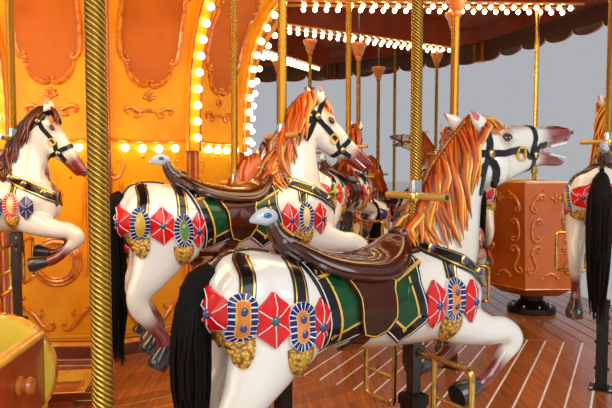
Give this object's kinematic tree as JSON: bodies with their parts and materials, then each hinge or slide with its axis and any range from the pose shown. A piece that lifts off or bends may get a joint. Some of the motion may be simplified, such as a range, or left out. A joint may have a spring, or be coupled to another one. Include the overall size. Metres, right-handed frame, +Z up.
{
  "type": "fairground carousel",
  "caption": "Covered fairground carousel with galloping horses on twisted poles, chariot benches, spinning tubs and a panelled, lamp-lit centre drum.",
  "frame": {"origin": "centre of the carousel on the ground", "axes": "+Z up; the side that the picture shows faces -Y; the horses travel anticlockwise seen from above"},
  "size_m": [10.3128, 10.3128, 5.9703],
  "materials": {
    "steel": "dull dark paint",
    "boards": "stained boards",
    "red_paint": "gloss",
    "brown_paint": "gloss",
    "orange_paint": "gloss",
    "yellow_paint": "gloss",
    "ceiling_paint": "satin",
    "canvas": "matt coated canvas",
    "gilt": "gilt",
    "brass": "polished, spiral twist",
    "horse_paint": "high gloss paint"
  },
  "bodies": {
    "base": {"base_frame": "steel", "slew_ring": "steel", "centre_mast": "steel"},
    "turntable": {"deck_frame": "steel", "deck": "boards", "deck_skirt": "red_paint", "drum_base": "brown_paint", "drum_lower": "orange_paint", "drum_upper": "yellow_paint", "canopy": "ceiling_paint", "rounding_boards": "orange_paint", "roof": "canvas", "finial": "gilt", "rim_pole_1": "brass", "rim_pole_2": "brass", "rim_pole_3": "brass", "rim_pole_4": "brass", "rim_pole_5": "brass", "rim_pole_6": "brass", "chariot_9_shell": "yellow_paint", "chariot_9_seat": "brown_paint", "chariot_3_shell": "yellow_paint", "chariot_3_seat": "brown_paint", "chariot_6_shell": "yellow_paint", "chariot_6_seat": "brown_paint", "tub_0_post": "brass", "tub_4_post": "brass", "tub_8_post": "brass"},
    "horse_middle_00": {"horse_middle_00": "horse_paint"},
    "horse_inner_00": {"horse_inner_00": "horse_paint"},
    "horse_outer_01": {"horse_outer_01": "horse_paint"},
    "horse_middle_01": {"horse_middle_01": "horse_paint"},
    "horse_inner_01": {"horse_inner_01": "horse_paint"},
    "horse_outer_02": {"horse_outer_02": "horse_paint"},
    "horse_middle_02": {"horse_middle_02": "horse_paint"},
    "horse_inner_02": {"horse_inner_02": "horse_paint"},
    "horse_inner_03": {"horse_inner_03": "horse_paint"},
    "horse_middle_04": {"horse_middle_04": "horse_paint"},
    "horse_inner_04": {"horse_inner_04": "horse_paint"},
    "horse_outer_05": {"horse_outer_05": "horse_paint"},
    "horse_middle_05": {"horse_middle_05": "horse_paint"},
    "horse_inner_05": {"horse_inner_05": "horse_paint"},
    "horse_inner_06": {"horse_inner_06": "horse_paint"},
    "horse_outer_07": {"horse_outer_07": "horse_paint"},
    "horse_middle_07": {"horse_middle_07": "horse_paint"},
    "horse_inner_07": {"horse_inner_07": "horse_paint"},
    "horse_middle_08": {"horse_middle_08": "horse_paint"},
    "horse_inner_08": {"horse_inner_08": "horse_paint"},
    "horse_inner_09": {"horse_inner_09": "horse_paint"},
    "horse_outer_10": {"horse_outer_10": "horse_paint"},
    "horse_middle_10": {"horse_middle_10": "horse_paint"},
    "horse_inner_10": {"horse_inner_10": "horse_paint"},
    "horse_outer_11": {"horse_outer_11": "horse_paint"},
    "horse_middle_11": {"horse_middle_11": "horse_paint"},
    "horse_inner_11": {"horse_inner_11": "horse_paint"},
    "tub_0": {"tub_0_shell": "orange_paint"},
    "tub_4": {"tub_4_shell": "orange_paint"},
    "tub_8": {"tub_8_shell": "orange_paint"}
  },
  "joints": [
    {"name": "turntable_spin", "type": "hinge", "parent": "base", "child": "turntable", "pos_m": [0, 0, 0], "axis": [0, 0, 1], "continuous": true},
    {"name": "horse_middle_00_rise", "type": "slide", "parent": "turntable", "child": "horse_middle_00", "axis": [0, 0, 1], "range_m": [-0.26, 0]},
    {"name": "horse_inner_00_rise", "type": "slide", "parent": "turntable", "child": "horse_inner_00", "axis": [0, 0, 1], "range_m": [0, 0.26]},
    {"name": "horse_outer_01_rise", "type": "slide", "parent": "turntable", "child": "horse_outer_01", "axis": [0, 0, 1], "range_m": [-0.26, 0]},
    {"name": "horse_middle_01_rise", "type": "slide", "parent": "turntable", "child": "horse_middle_01", "axis": [0, 0, 1], "range_m": [0, 0.26]},
    {"name": "horse_inner_01_rise", "type": "slide", "parent": "turntable", "child": "horse_inner_01", "axis": [0, 0, 1], "range_m": [-0.26, 0]},
    {"name": "horse_outer_02_rise", "type": "slide", "parent": "turntable", "child": "horse_outer_02", "axis": [0, 0, 1], "range_m": [0, 0.26]},
    {"name": "horse_middle_02_rise", "type": "slide", "parent": "turntable", "child": "horse_middle_02", "axis": [0, 0, 1], "range_m": [-0.26, 0]},
    {"name": "horse_inner_02_rise", "type": "slide", "parent": "turntable", "child": "horse_inner_02", "axis": [0, 0, 1], "range_m": [0, 0.26]},
    {"name": "horse_inner_03_rise", "type": "slide", "parent": "turntable", "child": "horse_inner_03", "axis": [0, 0, 1], "range_m": [-0.26, 0]},
    {"name": "horse_middle_04_rise", "type": "slide", "parent": "turntable", "child": "horse_middle_04", "axis": [0, 0, 1], "range_m": [-0.26, 0]},
    {"name": "horse_inner_04_rise", "type": "slide", "parent": "turntable", "child": "horse_inner_04", "axis": [0, 0, 1], "range_m": [0, 0.26]},
    {"name": "horse_outer_05_rise", "type": "slide", "parent": "turntable", "child": "horse_outer_05", "axis": [0, 0, 1], "range_m": [-0.26, 0]},
    {"name": "horse_middle_05_rise", "type": "slide", "parent": "turntable", "child": "horse_middle_05", "axis": [0, 0, 1], "range_m": [0, 0.26]},
    {"name": "horse_inner_05_rise", "type": "slide", "parent": "turntable", "child": "horse_inner_05", "axis": [0, 0, 1], "range_m": [-0.26, 0]},
    {"name": "horse_inner_06_rise", "type": "slide", "parent": "turntable", "child": "horse_inner_06", "axis": [0, 0, 1], "range_m": [0, 0.26]},
    {"name": "horse_outer_07_rise", "type": "slide", "parent": "turntable", "child": "horse_outer_07", "axis": [0, 0, 1], "range_m": [-0.26, 0]},
    {"name": "horse_middle_07_rise", "type": "slide", "parent": "turntable", "child": "horse_middle_07", "axis": [0, 0, 1], "range_m": [0, 0.26]},
    {"name": "horse_inner_07_rise", "type": "slide", "parent": "turntable", "child": "horse_inner_07", "axis": [0, 0, 1], "range_m": [-0.26, 0]},
    {"name": "horse_middle_08_rise", "type": "slide", "parent": "turntable", "child": "horse_middle_08", "axis": [0, 0, 1], "range_m": [-0.26, 0]},
    {"name": "horse_inner_08_rise", "type": "slide", "parent": "turntable", "child": "horse_inner_08", "axis": [0, 0, 1], "range_m": [0, 0.26]},
    {"name": "horse_inner_09_rise", "type": "slide", "parent": "turntable", "child": "horse_inner_09", "axis": [0, 0, 1], "range_m": [-0.26, 0]},
    {"name": "horse_outer_10_rise", "type": "slide", "parent": "turntable", "child": "horse_outer_10", "axis": [0, 0, 1], "range_m": [0, 0.26]},
    {"name": "horse_middle_10_rise", "type": "slide", "parent": "turntable", "child": "horse_middle_10", "axis": [0, 0, 1], "range_m": [-0.26, 0]},
    {"name": "horse_inner_10_rise", "type": "slide", "parent": "turntable", "child": "horse_inner_10", "axis": [0, 0, 1], "range_m": [0, 0.26]},
    {"name": "horse_outer_11_rise", "type": "slide", "parent": "turntable", "child": "horse_outer_11", "axis": [0, 0, 1], "range_m": [-0.26, 0]},
    {"name": "horse_middle_11_rise", "type": "slide", "parent": "turntable", "child": "horse_middle_11", "axis": [0, 0, 1], "range_m": [0, 0.26]},
    {"name": "horse_inner_11_rise", "type": "slide", "parent": "turntable", "child": "horse_inner_11", "axis": [0, 0, 1], "range_m": [-0.26, 0]},
    {"name": "tub_0_spin", "type": "hinge", "parent": "turntable", "child": "tub_0", "pos_m": [4.15, 0, 0.5], "axis": [0, 0, 1], "continuous": true},
    {"name": "tub_4_spin", "type": "hinge", "parent": "turntable", "child": "tub_4", "pos_m": [-2.075, 3.59401, 0.5], "axis": [0, 0, 1], "continuous": true},
    {"name": "tub_8_spin", "type": "hinge", "parent": "turntable", "child": "tub_8", "pos_m": [-2.075, -3.59401, 0.5], "axis": [0, 0, 1], "continuous": true}
  ],
  "couplings": [
    {"joint": "horse_middle_00_rise", "follows": "horse_outer_10_rise", "ratio": -1},
    {"joint": "horse_inner_00_rise", "follows": "horse_outer_10_rise", "ratio": 1},
    {"joint": "horse_outer_01_rise", "follows": "horse_outer_10_rise", "ratio": -1},
    {"joint": "horse_middle_01_rise", "follows": "horse_outer_10_rise", "ratio": 1},
    {"joint": "horse_inner_01_rise", "follows": "horse_outer_10_rise", "ratio": -1},
    {"joint": "horse_outer_02_rise", "follows": "horse_outer_10_rise", "ratio": 1},
    {"joint": "horse_middle_02_rise", "follows": "horse_outer_10_rise", "ratio": -1},
    {"joint": "horse_inner_02_rise", "follows": "horse_outer_10_rise", "ratio": 1},
    {"joint": "horse_inner_03_rise", "follows": "horse_outer_10_rise", "ratio": -1},
    {"joint": "horse_middle_04_rise", "follows": "horse_outer_10_rise", "ratio": -1},
    {"joint": "horse_inner_04_rise", "follows": "horse_outer_10_rise", "ratio": 1},
    {"joint": "horse_outer_05_rise", "follows": "horse_outer_10_rise", "ratio": -1},
    {"joint": "horse_middle_05_rise", "follows": "horse_outer_10_rise", "ratio": 1},
    {"joint": "horse_inner_05_rise", "follows": "horse_outer_10_rise", "ratio": -1},
    {"joint": "horse_inner_06_rise", "follows": "horse_outer_10_rise", "ratio": 1},
    {"joint": "horse_outer_07_rise", "follows": "horse_outer_10_rise", "ratio": -1},
    {"joint": "horse_middle_07_rise", "follows": "horse_outer_10_rise", "ratio": 1},
    {"joint": "horse_inner_07_rise", "follows": "horse_outer_10_rise", "ratio": -1},
    {"joint": "horse_middle_08_rise", "follows": "horse_outer_10_rise", "ratio": -1},
    {"joint": "horse_inner_08_rise", "follows": "horse_outer_10_rise", "ratio": 1},
    {"joint": "horse_inner_09_rise", "follows": "horse_outer_10_rise", "ratio": -1},
    {"joint": "horse_middle_10_rise", "follows": "horse_outer_10_rise", "ratio": -1},
    {"joint": "horse_inner_10_rise", "follows": "horse_outer_10_rise", "ratio": 1},
    {"joint": "horse_outer_11_rise", "follows": "horse_outer_10_rise", "ratio": -1},
    {"joint": "horse_middle_11_rise", "follows": "horse_outer_10_rise", "ratio": 1},
    {"joint": "horse_inner_11_rise", "follows": "horse_outer_10_rise", "ratio": -1}
  ]
}
